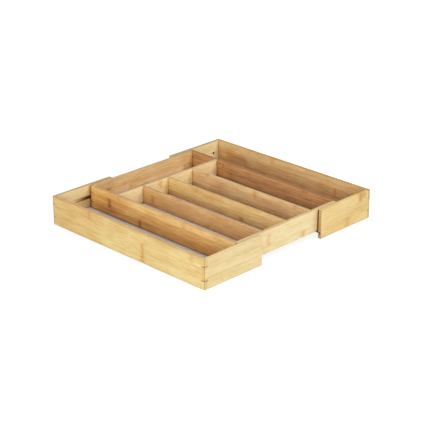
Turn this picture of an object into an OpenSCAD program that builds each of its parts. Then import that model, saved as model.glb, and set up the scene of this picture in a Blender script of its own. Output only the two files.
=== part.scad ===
// Cutlery tray of bamboo boards, with a wing on each side that pulls out.
// X runs across the tray, the way the wings slide, and Y along it.
// The origin is under the middle of the tray, on the table, with the wings pulled out.

/* [Tray] */
// Length of the tray, along the wing boards
tray_length = 355; // [320:5:420]
// Width with both wings pulled out
open_width = 390; // [350:5:410]
// Width with both wings pushed in
closed_width = 255; // [250:5:290]
// Height of the wings, and of the centre tray's upper edge
tray_height = 50; // [46:1:80]
// Radius of the upright outer corners
corner_r = 2.5; // [1:0.5:4]

/* [Boards] */
// Thickness of the wings' boards and arms
wing_t = 6; // [5:0.5:8]
// Thickness of the centre tray's four walls
wall_t = 6; // [5:0.5:8]
// Thickness of the dividers
divider_t = 5; // [4:0.5:8]
// Thickness of the floor panels
floor_t = 2.5; // [2:0.5:3.5]

/* [Floors] */
// Height of the wing floors' underside above the table
wing_floor_rise = 7.5; // [4:0.5:9]
// Height of the centre floor's underside above the walls' lower edge
centre_floor_rise = 6.5; // [3:0.5:8]
// Depth of the grooves that hold the floor panels
floor_groove = 3; // [2:0.5:4]
// Distance from an arm's free end back to the wing floor's edge
floor_setback = 2; // [0:0.5:5]

/* [Compartments] */
// Clear width of the cross compartment at the rear
cross_width = 56; // [40:1:90]
// Clear width of each long compartment but the right one, which takes the rest
long_slot_width = 53; // [45:0.5:55]
// Depth of the slots that hold the dividers' ends
slot_depth = 2; // [1:0.5:3]
// Space left at the bottom of every slot and floor groove
seat_play = 0.3; // [0.1:0.1:0.5]

/* [Corner joints] */
// Height of the middle finger at the wings' corners
wing_finger = 23; // [12:1:26]
// Height of that finger's lower side above the table
wing_finger_z = 14.5; // [13:0.5:18]
// Height of the middle finger at the centre tray's corners
wall_finger = 17; // [10:1:20]

/* [Slides] */
// Gap between an arm and the centre tray's end wall
side_gap = 2; // [0.5:0.1:3]
// Gap between the centre tray and the wing floors that slide under it
under_gap = 1; // [0.3:0.1:2]
// Gap between a side wall and its wing board when pushed in
closed_gap = 1; // [0.5:0.5:3]
// Gap between the arms of the two wings when pushed in
arm_meet_gap = 5; // [2:0.5:12]
// Height of the slide grooves' middle above the table
slide_height = 28.5; // [25:0.5:34]
// Height of a slide groove's mouth
slide_groove_h = 6; // [5.6:0.2:8]
// Depth of a slide groove
slide_groove_d = 3; // [2.8:0.1:4]
// Radius of the disc cutter that leaves the run-out
cutter_r = 30; // [20:1:40]

/* [Guide pegs] */
// Diameter of a guide peg
peg_d = 5; // [3:0.2:5.4]
// Distance from an arm's free end to its peg when pulled out
peg_inset = 9; // [6:0.5:14]
// Reach of a peg into its slide groove
peg_reach = 2; // [1:0.1:2.4]
// Depth of a peg's blind bore in the end wall
peg_seat = 4; // [2:0.5:4.5]
// Bevel round a peg's tip
peg_bevel = 0.6; // [0.2:0.1:1]
// Gap between a peg and the closed end of its groove
stop_gap = 0.3; // [0.3:0.1:0.5]
// Gap all round a peg in its bore
bore_fit = 0.05; // [0.02:0.01:0.1]

/* [Pin holes] */
// Diameter of the small blind hole beyond each slide groove
pin_hole_d = 3.5; // [2:0.5:4]
// Depth of that hole
pin_hole_depth = 3; // [1:0.5:4]
// Distance from that hole's centre to the wing board
pin_hole_inset = 13; // [8:1:16]

/* [Hidden] */
$fn = 48;

// How far a cut runs past the face that it opens
over = 1;

// Wings, pulled out: half sizes from the tray's middle
wing_x = open_width / 2;
wing_y = tray_length / 2;
board_inner_x = wing_x - wing_t;
arm_inner_y = wing_y - wing_t;
travel = (open_width - closed_width) / 2;
arm_end_x = travel + arm_meet_gap / 2;
wing_floor_top = wing_floor_rise + floor_t;

// Centre tray: half sizes and heights
wall_x = closed_width / 2 - wing_t - closed_gap;
wall_y = arm_inner_y - side_gap;
wall_inner_x = wall_x - wall_t;
wall_inner_y = wall_y - wall_t;
wall_z = wing_floor_top + under_gap;
wall_h = tray_height - wall_z;
wall_finger_z = wall_z + (wall_h - wall_finger) / 2;
centre_floor_z = wall_z + centre_floor_rise;
centre_floor_top = centre_floor_z + floor_t;

// Dividers: the cross divider's two faces, the first long divider's left face
// and the step from one long divider to the next
cross_rear_y = wall_inner_y - cross_width;
cross_front_y = cross_rear_y - divider_t;
first_divider_x = long_slot_width - wall_inner_x;
divider_pitch = long_slot_width + divider_t;
divider_h = tray_height - centre_floor_top;

// Slide grooves: the peg at rest, the round stop end, and where the run-out starts
peg_x = arm_end_x + peg_inset;
stop_x = peg_x + slide_groove_h / 2 - peg_d / 2 - stop_gap;
tip_gap = 0.3;
ramp_depth = slide_groove_d - peg_reach - tip_gap;
ramp_run = sqrt(pow(cutter_r, 2) - pow(cutter_r - ramp_depth, 2));
runout_x = peg_x + travel + peg_d / 2 - ramp_run;

board_colour = "#E2BD7A";
arm_colour = "#EBD398";
wall_colour = "#DDB26C";
divider_colour = "#D9AC66";
panel_colour = "#DCD9E2";
peg_colour = "#C89A5A";

// A piece drawn at +X, +Y, mirrored to the side and the end that carry it
module place(side, end) {
    mirror([side < 0 ? 1 : 0, 0, 0])
        mirror([0, end < 0 ? 1 : 0, 0])
            children();
}

// A box from its lowest corner to its highest
module block(low, high) {
    translate(low)
        cube(high - low);
}

// An upright column with the outline of a frame, round at its four corners
module frame_outline(half_x, half_y, z, height) {
    translate([0, 0, z])
        linear_extrude(height = height) {
            square([2 * half_x, 2 * (half_y - corner_r)], center = true);
            square([2 * (half_x - corner_r), 2 * half_y], center = true);
            for (sx = [-1, 1], sy = [-1, 1])
                translate([sx * (half_x - corner_r), sy * (half_y - corner_r)])
                    circle(r = corner_r);
        }
}

// The cutter's path in an arm's inner face: round at the stop end, then straight,
// and at the outer end the disc leaves a run-out that climbs to the face
module slide_groove() {
    low_z = slide_height - slide_groove_h / 2;
    deep_y = arm_inner_y + slide_groove_d;
    translate([stop_x, deep_y, slide_height])
        rotate([90, 0, 0])
            cylinder(d = slide_groove_h, h = slide_groove_d + over);
    block([stop_x, arm_inner_y - over, low_z],
          [runout_x, deep_y, low_z + slide_groove_h]);
    translate([runout_x, deep_y - cutter_r, low_z])
        cylinder(r = cutter_r, h = slide_groove_h, $fn = 120);
}

// The small blind hole in an arm's inner face, near the wing board
module pin_hole() {
    translate([board_inner_x - pin_hole_inset, arm_inner_y - over, slide_height])
        rotate([-90, 0, 0])
            cylinder(d = pin_hole_d, h = pin_hole_depth + over);
}

// Long board at the outer side of a wing, notched for the arms' middle fingers
module wing_board(side) {
    groove_y = arm_inner_y + floor_groove;
    color(board_colour)
        place(side, 1)
            difference() {
                intersection() {
                    frame_outline(wing_x, wing_y, 0, tray_height);
                    block([board_inner_x, -wing_y, 0], [wing_x, wing_y, tray_height]);
                }
                for (end = [-1, 1])
                    place(1, end)
                        block([board_inner_x - over, arm_inner_y, wing_finger_z],
                              [wing_x + over, wing_y + over, wing_finger_z + wing_finger]);
                block([board_inner_x - over, -groove_y, wing_floor_rise],
                      [board_inner_x + floor_groove, groove_y, wing_floor_top]);
            }
}

// Short arm at one end of a wing, with its floor groove and slide groove
module wing_arm(side, end) {
    color(arm_colour)
        place(side, end)
            difference() {
                intersection() {
                    frame_outline(wing_x, wing_y, 0, tray_height);
                    block([arm_end_x, arm_inner_y, 0], [wing_x, wing_y, tray_height]);
                }
                block([board_inner_x, arm_inner_y - over, -over],
                      [wing_x + over, wing_y + over, wing_finger_z]);
                block([board_inner_x, arm_inner_y - over, wing_finger_z + wing_finger],
                      [wing_x + over, wing_y + over, tray_height + over]);
                block([arm_end_x - over, arm_inner_y - over, wing_floor_rise],
                      [board_inner_x, arm_inner_y + floor_groove, wing_floor_top]);
                slide_groove();
                pin_hole();
            }
}

// Thin panel held in the grooves of a wing's board and arms
module wing_floor(side) {
    reach = floor_groove - seat_play;
    color(panel_colour)
        place(side, 1)
            block([arm_end_x + floor_setback, -arm_inner_y - reach, wing_floor_rise],
                  [board_inner_x + reach, arm_inner_y + reach, wing_floor_top]);
}

// Long side wall of the centre tray, notched for the end walls' middle fingers,
// grooved for the floor and slotted for the cross divider
module side_wall(side) {
    groove_y = wall_inner_y + floor_groove;
    color(wall_colour)
        place(side, 1)
            difference() {
                intersection() {
                    frame_outline(wall_x, wall_y, wall_z, wall_h);
                    block([wall_inner_x, -wall_y, wall_z], [wall_x, wall_y, tray_height]);
                }
                for (end = [-1, 1])
                    place(1, end)
                        block([wall_inner_x - over, wall_inner_y, wall_finger_z],
                              [wall_x + over, wall_y + over, wall_finger_z + wall_finger]);
                block([wall_inner_x - over, -groove_y, centre_floor_z],
                      [wall_inner_x + floor_groove, groove_y, centre_floor_top]);
                block([wall_inner_x - over, cross_front_y, centre_floor_top],
                      [wall_inner_x + slot_depth, cross_rear_y, tray_height + over]);
            }
}

// End wall of the centre tray, before the slots that only the front one has
module end_wall(end) {
    place(1, end)
        difference() {
            intersection() {
                frame_outline(wall_x, wall_y, wall_z, wall_h);
                block([-wall_x, wall_inner_y, wall_z], [wall_x, wall_y, tray_height]);
            }
            for (side = [-1, 1])
                place(side, 1) {
                    block([wall_inner_x, wall_inner_y - over, wall_z - over],
                          [wall_x + over, wall_y + over, wall_finger_z]);
                    block([wall_inner_x, wall_inner_y - over, wall_finger_z + wall_finger],
                          [wall_x + over, wall_y + over, tray_height + over]);
                    translate([peg_x, wall_y - peg_seat, slide_height])
                        rotate([-90, 0, 0])
                            cylinder(d = peg_d + 2 * bore_fit, h = peg_seat + over);
                }
            block([-wall_inner_x, wall_inner_y - over, centre_floor_z],
                  [wall_inner_x, wall_inner_y + floor_groove, centre_floor_top]);
        }
}

// Upright slots at the three long dividers' places, from y_low to y_high
module divider_slots(y_low, y_high) {
    for (i = [0, 1, 2])
        translate([first_divider_x + i * divider_pitch, 0, 0])
            block([0, y_low, centre_floor_top], [divider_t, y_high, tray_height + over]);
}

module centre_front_wall() {
    color(arm_colour)
        difference() {
            end_wall(-1);
            divider_slots(-wall_inner_y - slot_depth, -wall_inner_y + over);
        }
}

module centre_rear_wall() {
    color(wall_colour)
        end_wall(1);
}

module centre_floor() {
    reach = floor_groove - seat_play;
    color(panel_colour)
        block([-wall_inner_x - reach, -wall_inner_y - reach, centre_floor_z],
              [wall_inner_x + reach, wall_inner_y + reach, centre_floor_top]);
}

// Divider from side wall to side wall, slotted in front for the long dividers
module cross_divider() {
    reach = slot_depth - seat_play;
    color(divider_colour)
        difference() {
            block([-wall_inner_x - reach, cross_front_y, centre_floor_top],
                  [wall_inner_x + reach, cross_rear_y, tray_height]);
            divider_slots(cross_front_y - over, cross_front_y + slot_depth);
        }
}

// Divider from the front wall to the cross divider: 0, 1 or 2, from left to right
module long_divider(i) {
    reach = slot_depth - seat_play;
    color(divider_colour)
        translate([first_divider_x + i * divider_pitch, 0, centre_floor_top])
            block([0, -wall_inner_y - reach, 0],
                  [divider_t, cross_front_y + reach, divider_h]);
}

// Dowel in an end wall's blind bore, with a bevelled tip in the arm's slide groove
module guide_peg(side, end) {
    peg_r = peg_d / 2;
    length = peg_seat + side_gap + peg_reach;
    color(peg_colour)
        place(side, end)
            translate([peg_x, wall_y - peg_seat, slide_height])
                rotate([-90, 0, 0])
                    rotate_extrude()
                        polygon([[0, 0], [peg_r, 0], [peg_r, length - peg_bevel],
                                 [peg_r - peg_bevel, length], [0, length]]);
}

centre_front_wall();
centre_rear_wall();
side_wall(-1);  // centre_left_wall
side_wall(1);  // centre_right_wall
centre_floor();
cross_divider();
long_divider(0);  // left_divider
long_divider(1);  // middle_divider
long_divider(2);  // right_divider
guide_peg(-1, -1);  // front_left_peg
guide_peg(1, -1);  // front_right_peg
guide_peg(-1, 1);  // rear_left_peg
guide_peg(1, 1);  // rear_right_peg
wing_board(-1);  // left_wing_board
wing_arm(-1, -1);  // left_wing_front_arm
wing_arm(-1, 1);  // left_wing_rear_arm
wing_floor(-1);  // left_wing_floor
wing_board(1);  // right_wing_board
wing_arm(1, -1);  // right_wing_front_arm
wing_arm(1, 1);  // right_wing_rear_arm
wing_floor(1);  // right_wing_floor
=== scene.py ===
# Bamboo cutlery tray with a wing that pulls out at each side: finishes, light and camera.
import math

import bpy
from mathutils import Matrix, Vector

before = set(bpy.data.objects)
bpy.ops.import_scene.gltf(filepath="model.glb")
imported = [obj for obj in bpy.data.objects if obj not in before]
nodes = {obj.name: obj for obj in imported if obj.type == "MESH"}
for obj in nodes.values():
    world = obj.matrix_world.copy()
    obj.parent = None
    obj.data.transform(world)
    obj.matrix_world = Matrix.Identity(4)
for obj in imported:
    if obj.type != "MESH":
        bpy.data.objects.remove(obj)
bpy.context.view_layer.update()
print("frame loaded:", len(nodes), "boards, panels and pegs")


def boxOf(name):
    # a piece's lowest and highest corner, in metres
    points = [vertex.co for vertex in nodes[name].data.vertices]
    low = [min(point[axis] for point in points) for axis in range(3)]
    high = [max(point[axis] for point in points) for axis in range(3)]
    return low, high


def measureTray():
    # taken from the right half and the rear half; the other halves are their mirror images
    wingLow, wingHigh = boxOf("right_wing_board")
    wallLow, wallHigh = boxOf("centre_right_wall")
    armLow, _ = boxOf("right_wing_rear_arm")
    floorLow, floorHigh = boxOf("right_wing_floor")
    pegLow, pegHigh = boxOf("rear_right_peg")
    return {
        "top": wingHigh[2],
        "wingCorner": (wingHigh[0], wingHigh[1]),
        "centreCorner": (wallHigh[0], wallHigh[1]),
        "wingThick": wingHigh[0] - wingLow[0],
        "centreThick": wallHigh[0] - wallLow[0],
        "armInnerFace": armLow[1],
        "armFreeEnd": armLow[0],
        "grooveHeight": (pegLow[2] + pegHigh[2]) / 2,
        "floorHeight": (floorLow[2] + floorHigh[2]) / 2,
    }


tray = measureTray()


def paint(red, green, blue):
    # a colour as a picture program shows it (0 to 255), turned into the light values a shader takes
    made = []
    for part in (red, green, blue):
        share = part / 255
        made.append(share / 12.92 if share <= 0.04045 else ((share + 0.055) / 1.055) ** 2.4)
    return (*made, 1.0)


def plug(tree, made, wiring):
    # links a node's output to a socket, or sets the socket to a plain value
    for socket, value in wiring.items():
        if isinstance(value, bpy.types.NodeSocket):
            tree.links.new(value, made.inputs[socket])
        else:
            made.inputs[socket].default_value = value


def addNode(tree, kind, wiring=None, **settings):
    made = tree.nodes.new("ShaderNode" + kind)
    for name, value in settings.items():
        setattr(made, name, value)
    plug(tree, made, wiring or {})
    return made


def calc(tree, operation, first, second=0.0, third=0.0):
    return addNode(tree, "Math", {0: first, 1: second, 2: third}, operation=operation).outputs[0]


def product(tree, first, *others):
    for other in others:
        first = calc(tree, "MULTIPLY", first, other)
    return first


def opposite(tree, share):
    return calc(tree, "SUBTRACT", 1.0, share)


def apart(tree, value, mark):
    return calc(tree, "ABSOLUTE", calc(tree, "SUBTRACT", value, mark))


def fade(tree, value, start, end):
    # 0 below start, 1 above end, with a soft step between; swapped ends turn it round
    wiring = {"Value": value, "From Min": start, "From Max": end}
    return addNode(tree, "MapRange", wiring, interpolation_type="SMOOTHSTEP").outputs[0]


def noise(tree, vector, steps, detail, roughness=0.5):
    wiring = {"Vector": vector, "Scale": steps, "Detail": detail, "Roughness": roughness}
    return addNode(tree, "TexNoise", wiring).outputs[0]


def mixPaint(tree, amount, under, over, how="MIX"):
    made = addNode(tree, "Mix", data_type="RGBA", blend_type=how)
    plug(tree, made, {0: amount, 6: under, 7: over})  # 6 and 7 are the colours
    return made.outputs[2]


def tinge(tree, amount, shade, tint):
    return mixPaint(tree, amount, shade, tint, "MULTIPLY")


def newFinish(name):
    made = bpy.data.materials.new(name)
    made.use_nodes = True
    made.node_tree.nodes.clear()
    return made, made.node_tree


def toOutput(tree, shader, kind="OutputMaterial"):
    tree.links.new(shader.outputs[0], addNode(tree, kind).inputs[0])


def newGroup(name, wanted, given):
    made = bpy.data.node_groups.new(name, "ShaderNodeTree")
    for label in wanted:
        made.interface.new_socket(label, in_out="INPUT", socket_type="NodeSocketFloat")
    for label in given:
        made.interface.new_socket(label, in_out="OUTPUT", socket_type="NodeSocketFloat")
    entry = made.nodes.new("NodeGroupInput")
    leave = made.nodes.new("NodeGroupOutput")
    return made, entry.outputs, leave.inputs


def useGroup(tree, group, wiring):
    made = addNode(tree, "Group")
    made.node_tree = group
    plug(tree, made, wiring)
    return made.outputs


# how fine the bamboo's fibres are: pattern steps in a metre along the grain and across it,
# then how detailed and how rough the pattern is
fibreLook = {
    "Streaks": (6, 330, 5.0, 0.62),
    "Flecks": (34, 620, 2.0, 0.6),
    "Drift": (9, 60, 2.0, 0.5),
    "Clouds": (26, 70, 2.0, 0.55),
    "Pores": (85, 1500, 1.0, 0.4),
}
poreEdge = (0.60, 0.72)
noiseMiddle = 0.5


def makeFibreGroup():
    group, wanted, given = newGroup("bambooFibres", ("Along", "Up", "Through", "Seed"), fibreLook)
    for label, (stepsAlong, stepsAcross, detail, roughness) in fibreLook.items():
        place = addNode(group, "CombineXYZ", {
            0: calc(group, "MULTIPLY_ADD", wanted["Along"], stepsAlong, wanted["Seed"]),
            1: calc(group, "MULTIPLY", wanted["Up"], stepsAcross),
            2: calc(group, "MULTIPLY", wanted["Through"], stepsAcross),
        }).outputs[0]
        pattern = noise(group, place, 1.0, detail, roughness)  # the place already holds the steps
        if label == "Pores":
            pattern = fade(group, pattern, *poreEdge)
        group.links.new(pattern, given[label])
    return group


def faceNoise(group, wanted, stepsAlong, stepsUp):
    # a pattern on the face of a board, as a swing around 0
    place = addNode(group, "CombineXYZ", {
        0: calc(group, "MULTIPLY_ADD", wanted["Along"], stepsAlong, wanted["Seed"]),
        1: calc(group, "MULTIPLY", wanted["Up"], stepsUp),
    }).outputs[0]
    return calc(group, "SUBTRACT", noise(group, place, steps=1.0, detail=2.0), noiseMiddle)


# the ring scar where the culm had a joint: it crosses one strip of a board, wanders a little
# and is broken into short dashes, with a pale glow beside it
ringLook = {
    "halfWidth": 0.0030,
    "glowHalfWidth": 0.0090,
    "wander": 0.0100,
    "wanderSteps": (45, 170),
    "dashSteps": (190, 300),
    "dashEdge": (-0.14, 0.10),
    "endSoftness": 0.0012,
}


def makeRingGroup():
    group, wanted, given = newGroup(
        "culmRing", ("Along", "Up", "Seed", "Place", "Low", "High"), ("Scar", "Glow"))
    shift = product(group, faceNoise(group, wanted, *ringLook["wanderSteps"]), ringLook["wander"])
    offset = calc(group, "SUBTRACT", wanted["Along"], wanted["Place"])
    away = calc(group, "ABSOLUTE", calc(group, "ADD", offset, shift))
    soft = ringLook["endSoftness"]
    inside = product(
        group,
        fade(group, calc(group, "SUBTRACT", wanted["Up"], wanted["Low"]), -soft, soft),
        fade(group, calc(group, "SUBTRACT", wanted["High"], wanted["Up"]), -soft, soft))
    dashes = fade(group, faceNoise(group, wanted, *ringLook["dashSteps"]), *ringLook["dashEdge"])
    scar = product(group, fade(group, away, ringLook["halfWidth"], 0.0), dashes, inside)
    glow = product(group, fade(group, away, ringLook["glowHalfWidth"], 0.0), inside)
    group.links.new(scar, given["Scar"])
    group.links.new(glow, given["Glow"])
    return group


# a patch of other growth on a board: soft or sharp at its edges, which are a little ragged
patchLook = {"raggedSteps": (90, 240), "raggedUpShare": 0.5}


def makePatchGroup():
    group, wanted, given = newGroup(
        "growthPatch", ("Along", "Up", "Seed", "Start", "End", "Low", "High", "Soft"), ("Amount",))
    half = calc(group, "MULTIPLY", wanted["Soft"], 0.5)
    shift = calc(group, "MULTIPLY", faceNoise(group, wanted, *patchLook["raggedSteps"]), wanted["Soft"])
    along = calc(group, "ADD", wanted["Along"], shift)
    up = calc(group, "MULTIPLY_ADD", shift, patchLook["raggedUpShare"], wanted["Up"])
    amount = 1.0
    for value, edge, flip in ((along, "Start", 1), (along, "End", -1), (up, "Low", 1), (up, "High", -1)):
        depth = calc(group, "MULTIPLY", calc(group, "SUBTRACT", value, wanted[edge]), flip)
        amount = product(group, amount, fade(group, calc(group, "DIVIDE", depth, half), -1.0, 1.0))
    group.links.new(amount, given["Amount"])
    return group


fibreGroup = makeFibreGroup()
ringGroup = makeRingGroup()
patchGroup = makePatchGroup()


# what every bamboo board shares; each board adds its own tones, strips and marks.
# here and in the next dictionaries a tint multiplies the board's tone, and a pair of numbers
# is where a fade starts and ends, in metres where it is a length
bambooLook = {
    "stripSoftness": 0.0006,
    "glueHalfWidth": 0.0004,
    "glueTint": paint(226, 206, 184),
    "streakShare": 1.4,
    "fleckShare": 2.1,
    "driftShare": 0.9,
    "cloudShare": 1.2,
    "patchSeed": 40,
    "poreTint": paint(206, 176, 146),
    "poreShare": 0.45,
    "scarTint": paint(196, 158, 122),
    "glowTint": paint(245, 222, 186),
    "facingEnd": (0.6, 0.9),
    "facingUp": (0.7, 0.95),
    "endTint": paint(252, 248, 242),
    "endPoreTint": paint(238, 226, 210),
    "endPoreSteps": 1700.0,
    "endPoreEdge": (0.45, 0.68),
    "bumpHeight": 0.00012,
    "bumpStrength": 0.5,
    "streakRelief": 0.5,
    "poreRelief": 0.5,
    "roughness": 0.36,
    "streakRoughness": 0.18,
    "edgeRoughness": 0.2,
    "gloss": 0.42,
    "lacquer": 0.08,
    "lacquerRoughness": 0.28,
}


def stripDepth(tree, board, spot):
    # each strip has its own depth of tone, and a fine glue line shows between two strips
    look = bambooLook
    soft = look["stripSoftness"]
    depth = board["strips"][0][1]
    glueLine = 0.0
    for (start, toneDepth), (_, lastDepth) in zip(board["strips"][1:], board["strips"]):
        above = calc(tree, "SUBTRACT", spot["up"], start)
        step = fade(tree, above, -soft, soft)
        depth = calc(tree, "MULTIPLY_ADD", step, toneDepth - lastDepth, depth)
        line = fade(tree, calc(tree, "ABSOLUTE", above), look["glueHalfWidth"], 0.0)
        glueLine = calc(tree, "ADD", line, glueLine)
    return depth, glueLine


def fibreDepth(tree, board, spot, depth):
    look = bambooLook
    streakier = board.get("streakier", 1.0)
    shares = {"Streaks": look["streakShare"] * streakier, "Flecks": look["fleckShare"] * streakier,
              "Drift": look["driftShare"], "Clouds": look["cloudShare"]}
    for pattern, share in shares.items():
        swing = calc(tree, "SUBTRACT", spot["fibres"][pattern], noiseMiddle)
        depth = calc(tree, "ADD", depth, product(tree, swing, share))
    return depth


def patchDepth(tree, board, spot, depth):
    # patches deepen or lighten the tone
    for number, (start, end, low, high, soft, share) in enumerate(board.get("patches", ())):
        patch = useGroup(tree, patchGroup, {
            "Along": spot["along"], "Up": spot["up"],
            "Seed": board["seed"] + bambooLook["patchSeed"] + number,
            "Start": start, "End": end, "Low": low, "High": high, "Soft": soft})
        depth = calc(tree, "MULTIPLY_ADD", patch["Amount"], share, depth)
    return depth


def depthTone(tree, board, depth):
    # from 0 to 1 the tone goes from pale to deep, and from 1 to 2 on to dark
    deepest = calc(tree, "MAXIMUM", calc(tree, "SUBTRACT", depth, 1.0), 0.0)
    deep = calc(tree, "MINIMUM", calc(tree, "MAXIMUM", depth, 0.0), 1.0)
    shade = mixPaint(tree, deep, board["paleTone"], board["deepTone"])
    return mixPaint(tree, calc(tree, "MINIMUM", deepest, 1.0), shade, board["darkTone"])


def ringScars(tree, board, spot, shade):
    look = bambooLook
    scars = 0.0
    for number, (place, low, high, scarShare, glowShare) in enumerate(board.get("rings", ())):
        ring = useGroup(tree, ringGroup, {
            "Along": spot["along"], "Up": spot["up"], "Seed": board["seed"] + number,
            "Place": place, "Low": low, "High": high})
        scar = product(tree, ring["Scar"], scarShare)
        shade = tinge(tree, product(tree, ring["Glow"], glowShare), shade, look["glowTint"])
        shade = tinge(tree, scar, shade, look["scarTint"])
        scars = calc(tree, "MAXIMUM", scars, scar)
    return shade, scars


def endGrain(tree, spot, shade):
    # the cut ends are speckled with the fibre bundles
    look = bambooLook
    speckle = noise(tree, spot["object"], look["endPoreSteps"], detail=1.0)
    tint = mixPaint(tree, fade(tree, speckle, *look["endPoreEdge"]), look["endTint"], look["endPoreTint"])
    return tinge(tree, spot["endways"], shade, tint)


# finger-jointed corners. the heights of the lines between the fingers; depths inward from the
# corner's outer faces, and from the joint's own lines where a name starts with joint
cornerLook = {
    "wingFingers": (0.0145, 0.0375),
    "centreFingers": (0.022, 0.039),
    "jointEdge": (-0.0006, 0.0002),
    "jointBeside": (-0.003, -0.001),
    "jointKerf": (-0.0020, -0.0006),
    "jointHalfHeight": (0.0016, 0.0005),
    "jointTint": paint(208, 164, 106),
    "outside": (-0.0010, -0.0005),
    "rounding": (-0.0018, -0.0008),
    "roundingTint": paint(220, 188, 150),
    "sideCorners": (0.0, -0.001),  # x times y, which is below 0 at the rear left and front right
    "sideSpread": 0.0028,
    "sidePaler": 0.35,
}


def cornerDepths(tree, board, spot):
    # how far a spot lies inside both outer faces, inside the nearer one, and past the joint's line
    edgeX, edgeY = board["corner"]
    fromX = calc(tree, "SUBTRACT", spot["awayX"], edgeX)
    fromY = calc(tree, "SUBTRACT", spot["awayY"], edgeY)
    spot["inward"] = calc(tree, "MINIMUM", fromX, fromY)
    spot["outward"] = calc(tree, "MAXIMUM", fromX, fromY)
    spot["pastJoint"] = calc(tree, "ADD", spot["inward"], board["thick"])


def fingerEnds(tree, board, spot, shade):
    # the fingers' ends are sanded flush with the next board and look like its face
    joint = fade(tree, spot["pastJoint"], *cornerLook["jointEdge"])
    return mixPaint(tree, product(tree, spot["endways"], joint), shade, board["fingerTone"])


def sandedCorner(tree, board, spot, shade):
    # the rounding is browned by the sander, wider but paler at the rear left and front right
    # corners, and the fingers' glue lines show
    look = cornerLook
    side = fade(tree, product(tree, spot["x"], spot["y"]), *look["sideCorners"])
    rounding = fade(tree, calc(tree, "MULTIPLY_ADD", side, look["sideSpread"], spot["inward"]),
                    *look["rounding"])
    rounding = product(tree, rounding, calc(tree, "MULTIPLY_ADD", side, -look["sidePaler"], 1.0))
    shade = tinge(tree, rounding, shade, look["roundingTint"])
    lines = 0.0
    for height in board["fingers"]:
        line = fade(tree, apart(tree, spot["up"], height), *look["jointHalfHeight"])
        lines = calc(tree, "ADD", lines, line)
    kerf = fade(tree, spot["pastJoint"], *look["jointKerf"])
    return tinge(tree, product(tree, kerf, lines), shade, look["jointTint"])


# the wings' arms. depths outward from the arm's inner face, lengths from the middle of the tray,
# and from the arm's free end for the floor groove's mouth
armLook = {
    "freeHalf": (0.150, 0.140),
    "freeEndTint": paint(216, 208, 208),
    "grooveDepth": (0.0002, 0.0008),
    "grooveBottom": (0.0045, 0.0035),
    "grooveHalfHeight": (0.0034, 0.0030),
    "grooveShadeReach": (0.148, 0.122),
    "bareWoodAndShadeTint": paint(140, 100, 72),
    "pinPlace": 0.176,
    "pinRadius": (0.0028, 0.0018),
    "recessShadeTint": paint(120, 78, 52),
    "mouthBottom": (0.0050, 0.0044),
    "mouthHalfHeight": (0.0026, 0.0020),
    "mouthLength": (0.0015, 0.0006),
}


def armMarks(tree, spot, shade):
    # the free end is left rough and darker
    look = armLook
    freeEnd = product(tree, spot["endways"], fade(tree, spot["awayX"], *look["freeHalf"]))
    shade = tinge(tree, freeEnd, shade, look["freeEndTint"])

    # the slide groove's bare wood is darker, with painted shade from the centre tray that fades out along
    # the arm, and painted shade darkens the pin hole and its rim
    inside = calc(tree, "SUBTRACT", spot["awayY"], tray["armInnerFace"])
    notBottom = fade(tree, inside, *look["grooveBottom"])
    fromMiddle = apart(tree, spot["up"], tray["grooveHeight"])
    # bare wood, and painted shade that is strongest near the centre tray
    bareWoodAndShade = product(tree, fade(tree, inside, *look["grooveDepth"]), notBottom,
                   fade(tree, fromMiddle, *look["grooveHalfHeight"]), opposite(tree, spot["endways"]),
                   fade(tree, spot["awayX"], *look["grooveShadeReach"]))
    shade = tinge(tree, bareWoodAndShade, shade, look["bareWoodAndShadeTint"])
    fromPin = addNode(tree, "CombineXYZ", {
        0: calc(tree, "SUBTRACT", spot["awayX"], look["pinPlace"]), 1: fromMiddle}).outputs[0]
    fromPin = addNode(tree, "VectorMath", {0: fromPin}, operation="LENGTH").outputs["Value"]
    # painted shade in the pin hole and around its rim
    pinHoleShade = product(tree, fade(tree, fromPin, *look["pinRadius"]), notBottom)
    shade = tinge(tree, pinHoleShade, shade, look["recessShadeTint"])

    # painted shade darkens the floor's groove where it runs out of the free end
    fromEnd = calc(tree, "SUBTRACT", spot["awayX"], tray["armFreeEnd"])
    fromFloor = apart(tree, spot["up"], tray["floorHeight"])
    mouthShade = product(tree, fade(tree, fromFloor, *look["mouthHalfHeight"]),
                    fade(tree, inside, *look["mouthBottom"]), fade(tree, fromEnd, *look["mouthLength"]))
    return tinge(tree, mouthShade, shade, look["recessShadeTint"])


# the centre tray's end walls: painted shade darkens the face in the gap where an arm ends, wider near the
# foot, and under the arms painted light makes the top of the face paler. lengths along the wall run from
# the arm's end, heights from the tray's top, but from the table for the foot
endWallLook = {
    "face": (-0.0004, -0.0001),
    "gapShadeStart": (-0.0007, 0.0001),
    "gapShadeEnd": (0.0045, 0.0035),
    "gapShadeTop": (-0.0012, -0.0022),
    "gapShadeFoot": (0.0128, 0.0120),
    "gapShadeFootSpread": 0.0040,
    "gapShadeTint": paint(196, 142, 98),
    "paintedLightStart": (0.0, 0.0015),
    "paintedLightLow": (-0.0020, -0.0012),
    "paintedLightTone": paint(252, 234, 184),
}


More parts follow.
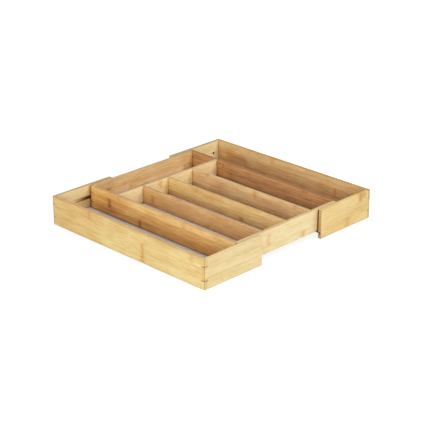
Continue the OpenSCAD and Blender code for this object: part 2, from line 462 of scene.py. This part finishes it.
def endWallMarks(tree, spot, shade):
    look = endWallLook
    fromArm = calc(tree, "SUBTRACT", spot["awayX"], tray["armFreeEnd"])
    fromTop = calc(tree, "SUBTRACT", spot["up"], tray["top"])
    outer = fade(tree, calc(tree, "SUBTRACT", spot["awayY"], tray["centreCorner"][1]), *look["face"])
    foot = fade(tree, spot["up"], *look["gapShadeFoot"])
    spread = calc(tree, "MULTIPLY_ADD", foot, look["gapShadeFootSpread"], fromArm)
    # painted shade in the gap beside the arm's end, wider near the foot
    gapShade = product(tree, fade(tree, spread, *look["gapShadeStart"]), fade(tree, fromArm, *look["gapShadeEnd"]),
                    outer, fade(tree, fromTop, *look["gapShadeTop"]))
    # painted light: the top of the face under the arm is made paler
    paintedLight = product(tree, fade(tree, fromArm, *look["paintedLightStart"]), outer,
                    fade(tree, fromTop, *look["paintedLightLow"]))
    shade = mixPaint(tree, paintedLight, shade, look["paintedLightTone"])
    return tinge(tree, gapShade, shade, look["gapShadeTint"])


# painted shade: warm in the inner corners, and dark brown deep in the gaps between boards.
# both depend on how open a spot is to its surroundings; near the top only the rear half has them
creviceLook = {
    "reach": 0.0042,
    "rearHalf": (0.0, 0.15),
    "belowTop": (-0.0004, -0.0025),
    "innerCorner": (0.68, 0.38),
    "innerCornerTint": paint(204, 180, 164),
    "gap": (0.55, 0.25),
    "gapTint": paint(124, 84, 62),
}


def opening(tree, reach):
    # how open a spot is to its surroundings: 0 deep in a gap, 1 in the open
    return addNode(tree, "AmbientOcclusion", {"Distance": reach}, samples=8).outputs["AO"]


def creviceShade(tree, board, spot, shade):
    look = creviceLook
    fromTop = calc(tree, "SUBTRACT", spot["up"], tray["top"])
    belowTop = fade(tree, fromTop, *look["belowTop"])
    inReach = calc(tree, "MAXIMUM", fade(tree, spot["y"], *look["rearHalf"]), belowTop)
    covered = product(tree, opposite(tree, spot["upways"]), inReach)
    if "corner" in board:
        # the fine seams of a finger joint stay as they are
        atJoint = product(tree, fade(tree, spot["outward"], *cornerLook["outside"]),
                          fade(tree, spot["pastJoint"], *cornerLook["jointBeside"]))
        covered = product(tree, covered, opposite(tree, atJoint))
    openness = opening(tree, look["reach"])
    # painted shade, deepest where a spot is least open
    for place in ("innerCorner", "gap"):
        amount = product(tree, covered, fade(tree, openness, *look[place]))
        shade = tinge(tree, amount, shade, look[place + "Tint"])
    return shade


def bambooMaterial(name, board):
    # a board of bamboo strips glued edge to edge, under a thin satin lacquer
    made, tree = newFinish(name)
    look = bambooLook
    here = addNode(tree, "TexCoord").outputs
    place = addNode(tree, "SeparateXYZ", {0: here["Object"]}).outputs
    facing = addNode(tree, "SeparateXYZ", {0: here["Normal"]}).outputs
    grainAxis = "XYZ".index(board["grain"])
    spot = {
        "object": here["Object"],
        "x": place[0],
        "y": place[1],
        "up": place[2],
        "along": place[grainAxis],
        "awayX": calc(tree, "ABSOLUTE", place[0]),
        "awayY": calc(tree, "ABSOLUTE", place[1]),
        "endways": fade(tree, calc(tree, "ABSOLUTE", facing[grainAxis]), *look["facingEnd"]),
        "upways": fade(tree, calc(tree, "ABSOLUTE", facing[2]), *look["facingUp"]),
    }
    fibres = spot["fibres"] = useGroup(tree, fibreGroup, {
        "Along": place[grainAxis], "Up": place[2], "Through": place[1 - grainAxis], "Seed": board["seed"]})

    depth, glueLine = stripDepth(tree, board, spot)
    depth = fibreDepth(tree, board, spot, depth)
    depth = patchDepth(tree, board, spot, depth)
    shade = depthTone(tree, board, depth)
    shade = tinge(tree, product(tree, fibres["Pores"], look["poreShare"]), shade, look["poreTint"])
    shade = tinge(tree, glueLine, shade, look["glueTint"])
    shade, scars = ringScars(tree, board, spot, shade)
    if "corner" in board:
        cornerDepths(tree, board, spot)
        shade = fingerEnds(tree, board, spot, shade)
    shade = endGrain(tree, spot, shade)
    if board.get("marks") == "arm":
        shade = armMarks(tree, spot, shade)
    if board.get("marks") == "endWall":
        shade = endWallMarks(tree, spot, shade)
    shade = tinge(tree, spot["upways"], shade, board["edgeTint"])  # painted shade on the top and bottom faces, on some boards with a painted cool reflection
    if "corner" in board:
        shade = sandedCorner(tree, board, spot, shade)
    shade = creviceShade(tree, board, spot, shade)

    hollows = calc(tree, "ADD", product(tree, fibres["Pores"], look["poreRelief"]),
                   calc(tree, "ADD", glueLine, scars))
    relief = calc(tree, "SUBTRACT", product(tree, fibres["Streaks"], look["streakRelief"]), hollows)
    bump = addNode(tree, "Bump", {
        "Height": relief, "Strength": look["bumpStrength"], "Distance": look["bumpHeight"]})
    satin = calc(tree, "MULTIPLY_ADD", fibres["Streaks"], look["streakRoughness"], look["roughness"])
    edge = calc(tree, "MAXIMUM", spot["endways"], spot["upways"])
    satin = calc(tree, "MULTIPLY_ADD", edge, look["edgeRoughness"], satin)
    toOutput(tree, addNode(tree, "BsdfPrincipled", {
        "Base Color": shade, "Roughness": satin, "Normal": bump.outputs[0],
        "Specular IOR Level": look["gloss"], "Coat Weight": look["lacquer"],
        "Coat Roughness": look["lacquerRoughness"]}))
    return made


# one entry for each board, all lengths in metres:
# - grain runs along X or Y; seed shifts the pattern, so that no two boards look alike
# - marks names the board's own marks: those of a wing's arm or of an end wall
# - pale, deep and dark are the tones that the strips lie between
# - edge tints the upper and lower edges with painted shade, on some boards with a painted cool reflection;
#   finger is the tone of the fingers' ends at the corners
# - a strip is (lowest height, depth of tone from 0 for pale to 1 for deep)
# - streakier makes the streaks and flecks stronger or weaker
# - a ring scar is (place along the grain, lowest and highest height, strength of scar and of glow)
# - a patch is (start and end along the grain, lowest and highest height, softness, change of depth)
boards = {
    "left_wing_board": {
        "grain": "Y", "seed": 3.1,
        "pale": (210, 190, 130), "deep": (195, 160, 90), "dark": (170, 120, 60),
        "edge": (250, 245, 255), "finger": (215, 195, 140),
        "strips": [(0.0, 0.40), (0.0170, 0.60), (0.0335, 0.72)], "streakier": 0.9,
        "rings": [(-0.0410, 0.002, 0.0335, 0.35, 1.0), (0.0840, 0.037, 0.050, 0.3, 0.9),
                  (-0.1500, 0.036, 0.050, 0.2, 0.7)],
        "patches": [(0.06, 0.19, -0.010, 0.060, 0.03, 0.33),
                    (-0.20, -0.108, -0.010, 0.060, 0.04, -0.32)],
    },
    "right_wing_board": {
        "grain": "Y", "seed": 8.4,
        "pale": (220, 185, 125), "deep": (200, 150, 85), "dark": (165, 110, 55),
        "edge": (205, 195, 150), "finger": (215, 185, 120),
        "strips": [(0.0, 0.50), (0.0170, 0.72), (0.0335, 0.32)],
        "rings": [(-0.1055, 0.018, 0.033, 0.6, 0.8), (0.0385, 0.036, 0.050, 0.3, 0.7),
                  (-0.0735, 0.024, 0.033, 0.1, 0.3)],
        "patches": [(0.10, 0.15, 0.019, 0.034, 0.02, 0.8), (-0.13, -0.07, 0.014, 0.033, 0.03, 0.5),
                    (0.055, 0.065, 0.014, 0.018, 0.004, 0.6)],
    },
    "left_wing_front_arm": {
        "grain": "X", "seed": 12.7, "marks": "arm",
        "pale": (225, 205, 155), "deep": (210, 185, 125), "dark": (190, 155, 95),
        "edge": (255, 255, 255), "finger": (200, 175, 110),
        "strips": [(0.0, 0.50), (0.0180, 0.35), (0.0340, 0.45)], "streakier": 0.65,
    },
    "left_wing_rear_arm": {
        "grain": "X", "seed": 17.9, "marks": "arm",
        "pale": (240, 220, 170), "deep": (230, 190, 130), "dark": (200, 150, 90),
        "edge": (190, 175, 140), "finger": (200, 175, 110),
        "strips": [(0.0, 0.60), (0.0210, 0.35)],
        "rings": [(-0.1000, 0.021, 0.041, 0.2, 0.4)],
        "patches": [(-0.210, -0.155, -0.010, 0.060, 0.02, -0.30)],
    },
    "right_wing_front_arm": {
        "grain": "X", "seed": 21.3, "marks": "arm",
        "pale": (225, 200, 135), "deep": (205, 170, 100), "dark": (190, 135, 70),
        "edge": (250, 245, 250), "finger": (210, 170, 105),
        "strips": [(0.0, 0.40), (0.0160, 0.50), (0.0350, 0.35)], "streakier": 0.8,
        "rings": [(0.1690, 0.036, 0.050, 0.3, 0.9), (0.1370, 0.002, 0.018, 0.1, 0.5)],
        "patches": [(0.166, 0.184, 0.038, 0.050, 0.006, 0.8), (0.130, 0.146, 0.004, 0.018, 0.008, 0.3)],
    },
    "right_wing_rear_arm": {
        "grain": "X", "seed": 26.5, "marks": "arm",
        "pale": (245, 230, 180), "deep": (240, 205, 140), "dark": (215, 160, 95),
        "edge": (175, 165, 150), "finger": (210, 170, 105),
        "strips": [(0.0, 0.60), (0.0240, 0.35)],
        "rings": [(0.1100, 0.0, 0.021, 0.2, 0.4)],
    },
    "centre_front_wall": {
        "grain": "X", "seed": 31.2, "marks": "endWall",
        "pale": (230, 215, 170), "deep": (220, 190, 130), "dark": (200, 160, 90),
        "edge": (230, 210, 190), "finger": (220, 175, 105),
        "strips": [(0.0, 0.55), (0.0230, 0.38)], "streakier": 0.75,
        "rings": [(-0.0465, 0.023, 0.0420, 0.1, 0.6), (0.0355, 0.0115, 0.0230, 0.3, 0.9)],
        "patches": [(-0.0510, -0.0430, 0.024, 0.036, 0.004, 0.25)],
    },
    "centre_rear_wall": {
        "grain": "X", "seed": 36.8, "marks": "endWall",
        "pale": (225, 190, 135), "deep": (200, 155, 90), "dark": (165, 95, 50),
        "edge": (220, 220, 220), "finger": (220, 175, 105),
        "strips": [(0.0, 0.60), (0.0295, 0.65), (0.0365, 0.38)],
        "rings": [(-0.0340, 0.020, 0.0290, 0.5, 0.6), (0.0945, 0.020, 0.0295, 0.5, 0.5)],
        "patches": [(-0.0885, -0.0800, 0.0315, 0.0355, 0.004, 0.9),
                    (-0.0880, -0.0740, 0.040, 0.048, 0.008, 0.4),
                    (-0.0520, -0.0460, 0.032, 0.040, 0.006, 0.45),
                    (0.0935, 0.1200, 0.010, 0.0295, 0.0008, 0.3),
                    (-0.1200, 0.0925, 0.010, 0.0295, 0.0008, -0.15)],
    },
    "centre_left_wall": {
        "grain": "Y", "seed": 41.6,
        "pale": (235, 200, 130), "deep": (210, 155, 80), "dark": (170, 100, 50),
        "edge": (215, 220, 245), "finger": (225, 205, 150),
        # its strips deepen towards the foot: strip tone, and partly painted shade
        "strips": [(0.0, 1.05), (0.0235, 0.70), (0.0393, 0.35)],
        "rings": [(0.1210, 0.0240, 0.0393, 0.9, 0.6), (0.0466, 0.0110, 0.0235, 0.9, 0.6),
                  (-0.0560, 0.0393, 0.050, 0.3, 0.5), (0.0990, 0.0430, 0.050, 0.3, 0.5)],
        "patches": [(0.1165, 0.1245, 0.0245, 0.0385, 0.005, 0.7),
                    (0.0435, 0.0500, 0.0110, 0.0230, 0.005, 0.6),
                    (0.085, 0.150, 0.0, 0.055, 0.03, 0.50), (0.155, 0.19, -0.010, 0.0235, 0.010, -0.30)],
    },
    "centre_right_wall": {
        "grain": "Y", "seed": 46.3,
        "pale": (195, 145, 85), "deep": (165, 110, 60), "dark": (130, 80, 40),
        "edge": (195, 180, 155), "finger": (215, 180, 125),
        "strips": [(0.0, 0.62), (0.0240, 0.52), (0.0400, 0.42)], "streakier": 2.0,
        "rings": [(0.0870, 0.038, 0.047, 0.9, 0.5), (0.0680, 0.024, 0.036, 0.3, 0.5)],
        "patches": [(0.0630, 0.0740, 0.024, 0.034, 0.010, 0.3)],
    },
    "cross_divider": {
        "grain": "X", "seed": 51.4,
        "pale": (245, 230, 180), "deep": (245, 210, 150), "dark": (220, 160, 95),
        "edge": (200, 190, 195),
        "strips": [(0.0, 0.55), (0.0330, 0.40)],
        "rings": [(-0.0215, 0.036, 0.050, 0.3, 0.9)],
    },
    "left_divider": {
        "grain": "Y", "seed": 56.9,
        "pale": (215, 175, 115), "deep": (190, 140, 80), "dark": (160, 100, 50),
        "edge": (225, 225, 240),
        "strips": [(0.0, 0.60), (0.0300, 0.50), (0.0420, 0.35)],
        "rings": [(0.0790, 0.0260, 0.040, 0.4, 0.6), (0.0245, 0.047, 0.050, 0.3, 0.3),
                  (-0.0520, 0.021, 0.029, 0.4, 0.4)],
        "patches": [(0.0740, 0.0840, 0.026, 0.038, 0.008, 0.4),
                    (-0.05, -0.012, 0.022, 0.038, 0.02, -0.5)],
    },
    "middle_divider": {
        "grain": "Y", "seed": 61.5,
        "pale": (230, 200, 135), "deep": (205, 160, 90), "dark": (165, 105, 55),
        "edge": (220, 215, 220),
        "strips": [(0.0, 0.70), (0.0290, 0.45), (0.0420, 0.45)],
        "rings": [(0.0320, 0.042, 0.050, 0.3, 0.4), (-0.0700, 0.020, 0.028, 0.6, 0.6)],
        "patches": [(-0.0770, -0.0640, 0.020, 0.027, 0.006, 0.35),
                    (0.03, 0.045, 0.025, 0.045, 0.02, 0.3)],
    },
    "right_divider": {
        "grain": "Y", "seed": 66.2,
        "pale": (225, 190, 135), "deep": (195, 150, 95), "dark": (160, 105, 55),
        "edge": (230, 238, 248),
        "strips": [(0.0, 0.75), (0.0270, 0.50), (0.0420, 0.30)],
        "rings": [(0.0660, 0.045, 0.050, 0.5, 0.8), (-0.0450, 0.038, 0.050, 0.3, 0.8),
                  (-0.1340, 0.043, 0.050, 0.7, 0.8)],
        "patches": [(0.02, 0.06, 0.020, 0.042, 0.03, 0.4), (-0.12, -0.06, 0.028, 0.044, 0.03, 0.35)],
    },
}


# eased edges: the sander takes the sharpness off every board; lengths in metres, angles in degrees
easing = {
    "boardWidth": 0.0003,
    "panelWidth": 0.0002,
    "segments": 2,
    "sharpFrom": 35,
    "flatBelow": 1,
    "seam": 0.00001,
    "evenWeight": 60,
}


def easeEdges(piece, width):
    weld = piece.modifiers.new("closeSeams", "WELD")
    weld.merge_threshold = easing["seam"]
    flat = piece.modifiers.new("wholeFaces", "DECIMATE")
    flat.decimate_type = "DISSOLVE"
    flat.angle_limit = math.radians(easing["flatBelow"])
    ease = piece.modifiers.new("easedEdges", "BEVEL")
    ease.width = width
    ease.segments = easing["segments"]
    ease.limit_method = "ANGLE"
    ease.angle_limit = math.radians(easing["sharpFrom"])
    ease.miter_outer = "MITER_ARC"
    even = piece.modifiers.new("evenShading", "WEIGHTED_NORMAL")
    even.keep_sharp = False
    even.weight = easing["evenWeight"]


def dress(piece, material):
    piece.data.materials.clear()
    piece.data.materials.append(material)


def readyBoard(name, board):
    for tone in ("pale", "deep", "dark"):
        board[tone + "Tone"] = paint(*board[tone])
    board["edgeTint"] = paint(*board["edge"])
    if "finger" in board:
        part = "wing" if "wing" in name else "centre"
        board["fingerTone"] = paint(*board["finger"])
        board["corner"] = tray[part + "Corner"]
        board["thick"] = tray[part + "Thick"]
        board["fingers"] = cornerLook[part + "Fingers"]


for name, board in boards.items():
    readyBoard(name, board)
    dress(nodes[name], bambooMaterial("bamboo_" + name, board))
    easeEdges(nodes[name], easing["boardWidth"])
print("bamboo boards dressed:", len(boards))


# thin panels: a smooth whitish face above, bare brown fibreboard at the edges and below
panelLook = {
    "faceTone": paint(248, 247, 254),
    "faceDeepTone": paint(238, 237, 248),
    "faceUp": (0.7, 0.9),
    "cloudSteps": 38.0,
    "boardTone": paint(134, 92, 60),
    "boardDeepTone": paint(106, 72, 46),
    "fibreSteps": 900.0,
    "fibreEdge": (0.3, 0.7),
    "detail": 3.0,
    "footReach": 0.0035,
    "foot": (0.80, 0.48),
    "footShadeTint": paint(196, 172, 152),
    "bumpHeight": 0.0001,
    "bumpStrength": 0.15,
    "roughness": 0.8,
    "faceSmoother": 0.35,
}


def panelMaterial():
    made, tree = newFinish("whiteFacedPanel")
    look = panelLook
    here = addNode(tree, "TexCoord").outputs
    facing = addNode(tree, "SeparateXYZ", {0: here["Normal"]}).outputs
    clouds = noise(tree, here["Object"], look["cloudSteps"], look["detail"])
    fibres = noise(tree, here["Object"], look["fibreSteps"], look["detail"])
    face = mixPaint(tree, clouds, look["faceTone"], look["faceDeepTone"])
    speckle = fade(tree, fibres, *look["fibreEdge"])
    raw = mixPaint(tree, speckle, look["boardTone"], look["boardDeepTone"])
    isFace = fade(tree, facing[2], *look["faceUp"])
    shade = mixPaint(tree, isFace, raw, face)
    # painted shade where the panel meets the walls and dividers
    foot = fade(tree, opening(tree, look["footReach"]), *look["foot"])
    shade = tinge(tree, foot, shade, look["footShadeTint"])
    bump = addNode(tree, "Bump", {
        "Height": fibres, "Strength": look["bumpStrength"], "Distance": look["bumpHeight"]})
    rough = calc(tree, "MULTIPLY_ADD", isFace, -look["faceSmoother"], look["roughness"])
    toOutput(tree, addNode(tree, "BsdfPrincipled", {
        "Base Color": shade, "Roughness": rough, "Normal": bump.outputs[0]}))
    return made


panelFinish = panelMaterial()
for name in ("centre_floor", "left_wing_floor", "right_wing_floor"):
    dress(nodes[name], panelFinish)
    easeEdges(nodes[name], easing["panelWidth"])
print("floor panels dressed")


# guide pegs: plain turned wood
pegLook = {
    "grain": "Y", "seed": 71.0, "strips": [(0.0, 0.5)],
    "pale": (222, 184, 128), "deep": (192, 146, 92), "dark": (170, 120, 72), "edge": (255, 255, 255),
}
readyBoard("peg", pegLook)
pegFinish = bambooMaterial("turnedPeg", pegLook)
for name in ("front_left_peg", "front_right_peg", "rear_left_peg", "rear_right_peg"):
    dress(nodes[name], pegFinish)
print("guide pegs dressed")


# plain pale floor that runs far past the picture; to the camera it is white, and it keeps the
# tray's shadow. the lifts add light of its own: glossLift to the camera and in reflections,
# cameraLift to the camera alone, and farLift to the camera away from the tray
stageLook = {
    "reach": 12.0,
    "drop": 0.0003,
    "floorTone": paint(244, 244, 244),
    "seenTone": paint(118, 118, 118),
    "glossLift": 0.80,
    "cameraLift": 0.09,
    "farLift": 0.30,
    "far": (0.35, 1.2),
    "skyOnObject": 0.10,
}


def seenRays(tree):
    path = addNode(tree, "LightPath").outputs
    seen = calc(tree, "MAXIMUM", path["Is Camera Ray"], path["Is Glossy Ray"])
    return calc(tree, "MAXIMUM", seen, path["Is Transmission Ray"])


def floorMaterial():
    look = stageLook
    made, tree = newFinish("paleFloor")
    direct = addNode(tree, "LightPath").outputs["Is Camera Ray"]
    tone = mixPaint(tree, direct, look["floorTone"], look["seenTone"])
    matt = addNode(tree, "BsdfDiffuse", {"Color": tone})
    # away from the tray the lamps' light falls off, and the lift makes up for it
    here = addNode(tree, "TexCoord").outputs["Object"]
    away = addNode(tree, "VectorMath", {0: here}, operation="LENGTH").outputs["Value"]
    far = fade(tree, away, *look["far"])
    cameraLift = calc(tree, "MULTIPLY_ADD", far, look["farLift"], look["cameraLift"])
    cameraLift = product(tree, direct, cameraLift)
    strength = calc(tree, "MULTIPLY_ADD", seenRays(tree), look["glossLift"], cameraLift)
    lift = addNode(tree, "Emission", {"Strength": strength})
    toOutput(tree, addNode(tree, "AddShader", {0: matt.outputs[0], 1: lift.outputs[0]}))
    return made


def makeFloor():
    half = stageLook["reach"] / 2
    drop = -stageLook["drop"]
    sheet = bpy.data.meshes.new("floor")
    corners = [(-half, -half, drop), (half, -half, drop), (half, half, drop), (-half, half, drop)]
    sheet.from_pydata(corners, [], [(0, 1, 2, 3)])
    sheet.materials.append(floorMaterial())
    floor = bpy.data.objects.new("floor", sheet)
    bpy.context.scene.collection.objects.link(floor)


def makeSky():
    sky = bpy.data.worlds.new("plainStudio")
    sky.use_nodes = True
    bpy.context.scene.world = sky
    tree = sky.node_tree
    tree.nodes.clear()
    dim = stageLook["skyOnObject"]
    strength = calc(tree, "MULTIPLY_ADD", seenRays(tree), 1.0 - dim, dim)
    back = addNode(tree, "Background", {"Color": (1, 1, 1, 1), "Strength": strength})
    toOutput(tree, back, "OutputWorld")


makeFloor()
makeSky()


# soft square lamps: direction from the tray (across, along, up), side in metres, power in watts
lampDistance = 2.2
lamps = {
    "leftPanel": {"towards": (-1.0, 0.0, 0.34), "side": 1.25, "power": 25.2},
    "frontLeftPanel": {"towards": (-0.7, -0.7, 0.18), "side": 1.0, "power": 19.0},
    "frontRightPanel": {"towards": (0.454, -0.454, 0.766), "side": 1.0, "power": 24.3},
    "frontPanel": {"towards": (0.0, -0.82, 0.57), "side": 1.0, "power": 5.0},
    "topPanel": {"towards": (0.0, 0.0, 1.0), "side": 1.0, "power": 11.0},
    "backPanel": {"towards": (0.35, 1.0, 0.85), "side": 1.0, "power": 4.0},
}


def makeLamp(name, lamp):
    light = bpy.data.lights.new(name, "AREA")
    light.shape = "SQUARE"
    light.size = lamp["side"]
    light.energy = lamp["power"]
    holder = bpy.data.objects.new(name, light)
    bpy.context.scene.collection.objects.link(holder)
    towards = Vector(lamp["towards"]).normalized()
    holder.location = towards * lampDistance
    holder.rotation_mode = "QUATERNION"
    holder.rotation_quaternion = towards.to_track_quat("Z", "Y")
    holder.visible_camera = False


for name, lamp in lamps.items():
    makeLamp(name, lamp)
print("floor, sky and lamps placed")


# camera: azimuth 0 looks along +Y, and the two slides move it sideways and up as the picture is
# framed. angles in degrees, lens and sensor in millimetres, the rest in metres
cameraLook = {
    "azimuth": -45.314,
    "elevation": 23.086,
    "distance": 2.23207,
    "slideRight": 0.00458,
    "slideUp": 0.00926,
    "lens": 112.01,
    "sensor": 36.0,
    "nearest": 0.05,
    "farthest": 60.0,
}


def makeCamera():
    turn = math.radians(cameraLook["azimuth"])
    tilt = math.radians(cameraLook["elevation"])
    back = Vector((math.sin(turn) * math.cos(tilt), -math.cos(turn) * math.cos(tilt), math.sin(tilt)))
    right = Vector((math.cos(turn), math.sin(turn), 0.0))
    upward = back.cross(right)
    where = (back * cameraLook["distance"] + right * cameraLook["slideRight"]
             + upward * cameraLook["slideUp"])
    lens = bpy.data.cameras.new("camera")
    lens.lens = cameraLook["lens"]
    lens.sensor_width = cameraLook["sensor"]
    lens.clip_start = cameraLook["nearest"]
    lens.clip_end = cameraLook["farthest"]
    holder = bpy.data.objects.new("camera", lens)
    bpy.context.scene.collection.objects.link(holder)
    turned = Matrix((right, upward, back)).transposed().to_4x4()
    holder.matrix_world = Matrix.Translation(where) @ turned
    bpy.context.scene.camera = holder


makeCamera()
bpy.context.scene.view_settings.view_transform = "Standard"
print("camera set")

bpy.context.view_layer.update()
